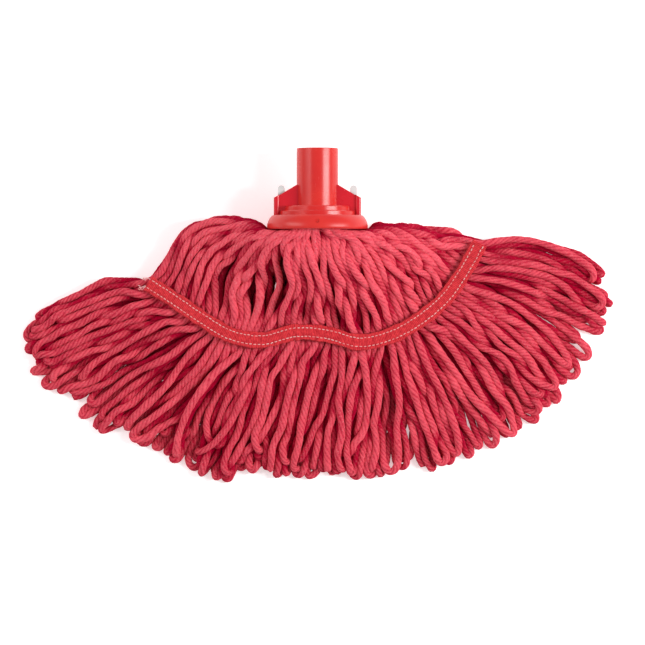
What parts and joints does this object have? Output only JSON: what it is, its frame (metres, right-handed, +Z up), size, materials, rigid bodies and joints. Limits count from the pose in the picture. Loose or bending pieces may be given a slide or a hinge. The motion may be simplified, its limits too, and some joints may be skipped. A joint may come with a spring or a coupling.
{
  "type": "string mop head",
  "caption": "Socket mop head: a moulded pole socket and clamp ring holding a fan of looped, twisted yarn in two halves, each sewn across with a stitched tape.",
  "frame": {"origin": "bottom centre of the whole part, on the surface that it lies on", "axes": "+Z up from the surface, +Y along the pole's axis out of the socket's mouth, +X across the fan of yarn"},
  "size_m": [0.4058, 0.23, 0.0704],
  "materials": {
    "socket_plastic": "moulded polypropylene, semi-gloss, orange-red",
    "ring_plastic": "moulded polypropylene, semi-gloss, orange-red",
    "white_plastic": "natural white moulding, slightly translucent",
    "yarn": "soft twisted multi-ply yarn, crimson",
    "tape": "woven webbing tape, bright red",
    "thread": "pale lockstitch thread"
  },
  "bodies": {
    "socket": {"socket_body": "socket_plastic", "right_guard": "socket_plastic", "left_guard": "socket_plastic", "clamp_ring": "ring_plastic", "yarn_bar": "white_plastic", "hank_fold": "yarn"},
    "front_fan": {"front_strands_1": "yarn", "front_strands_2": "yarn", "front_strands_3": "yarn", "front_strands_4": "yarn", "front_strands_5": "yarn", "front_strands_6": "yarn", "front_strands_7": "yarn", "front_strands_8": "yarn", "front_loops_1": "yarn", "front_loops_2": "yarn", "front_loops_3": "yarn", "front_loops_4": "yarn", "front_loops_5": "yarn", "front_loops_6": "yarn", "front_loops_7": "yarn", "front_loops_8": "yarn", "front_tape": "tape", "front_stitching": "thread"},
    "back_fan": {"back_strands_1": "yarn", "back_strands_2": "yarn", "back_strands_3": "yarn", "back_strands_4": "yarn", "back_strands_5": "yarn", "back_strands_6": "yarn", "back_strands_7": "yarn", "back_strands_8": "yarn", "back_loops_1": "yarn", "back_loops_2": "yarn", "back_loops_3": "yarn", "back_loops_4": "yarn", "back_loops_5": "yarn", "back_loops_6": "yarn", "back_loops_7": "yarn", "back_loops_8": "yarn", "back_tape": "tape", "back_stitching": "thread"},
    "right_snap_arm": {"snap_arm_right": "white_plastic"},
    "left_snap_arm": {"snap_arm_left": "white_plastic"}
  },
  "joints": [
    {"name": "front_fan_swing", "type": "hinge", "parent": "socket", "child": "front_fan", "pos_m": [0, 0.0582, 0.0627], "axis": [-1, 0, 0], "range_deg": [0, 60]},
    {"name": "back_fan_swing", "type": "hinge", "parent": "socket", "child": "back_fan", "pos_m": [0, 0.0582, 0.0077], "axis": [1, 0, 0], "range_deg": [0, 60]},
    {"name": "right_snap_arm_flex", "type": "hinge", "parent": "socket", "child": "right_snap_arm", "pos_m": [0.0243, 0.06215, 0.0352], "axis": [0, 0, 1], "range_deg": [0, 7], "stiffness_Nm_per_rad": 1.5},
    {"name": "left_snap_arm_flex", "type": "hinge", "parent": "socket", "child": "left_snap_arm", "pos_m": [-0.0243, 0.06215, 0.0352], "axis": [0, 0, -1], "range_deg": [0, 7], "stiffness_Nm_per_rad": 1.5}
  ]
}
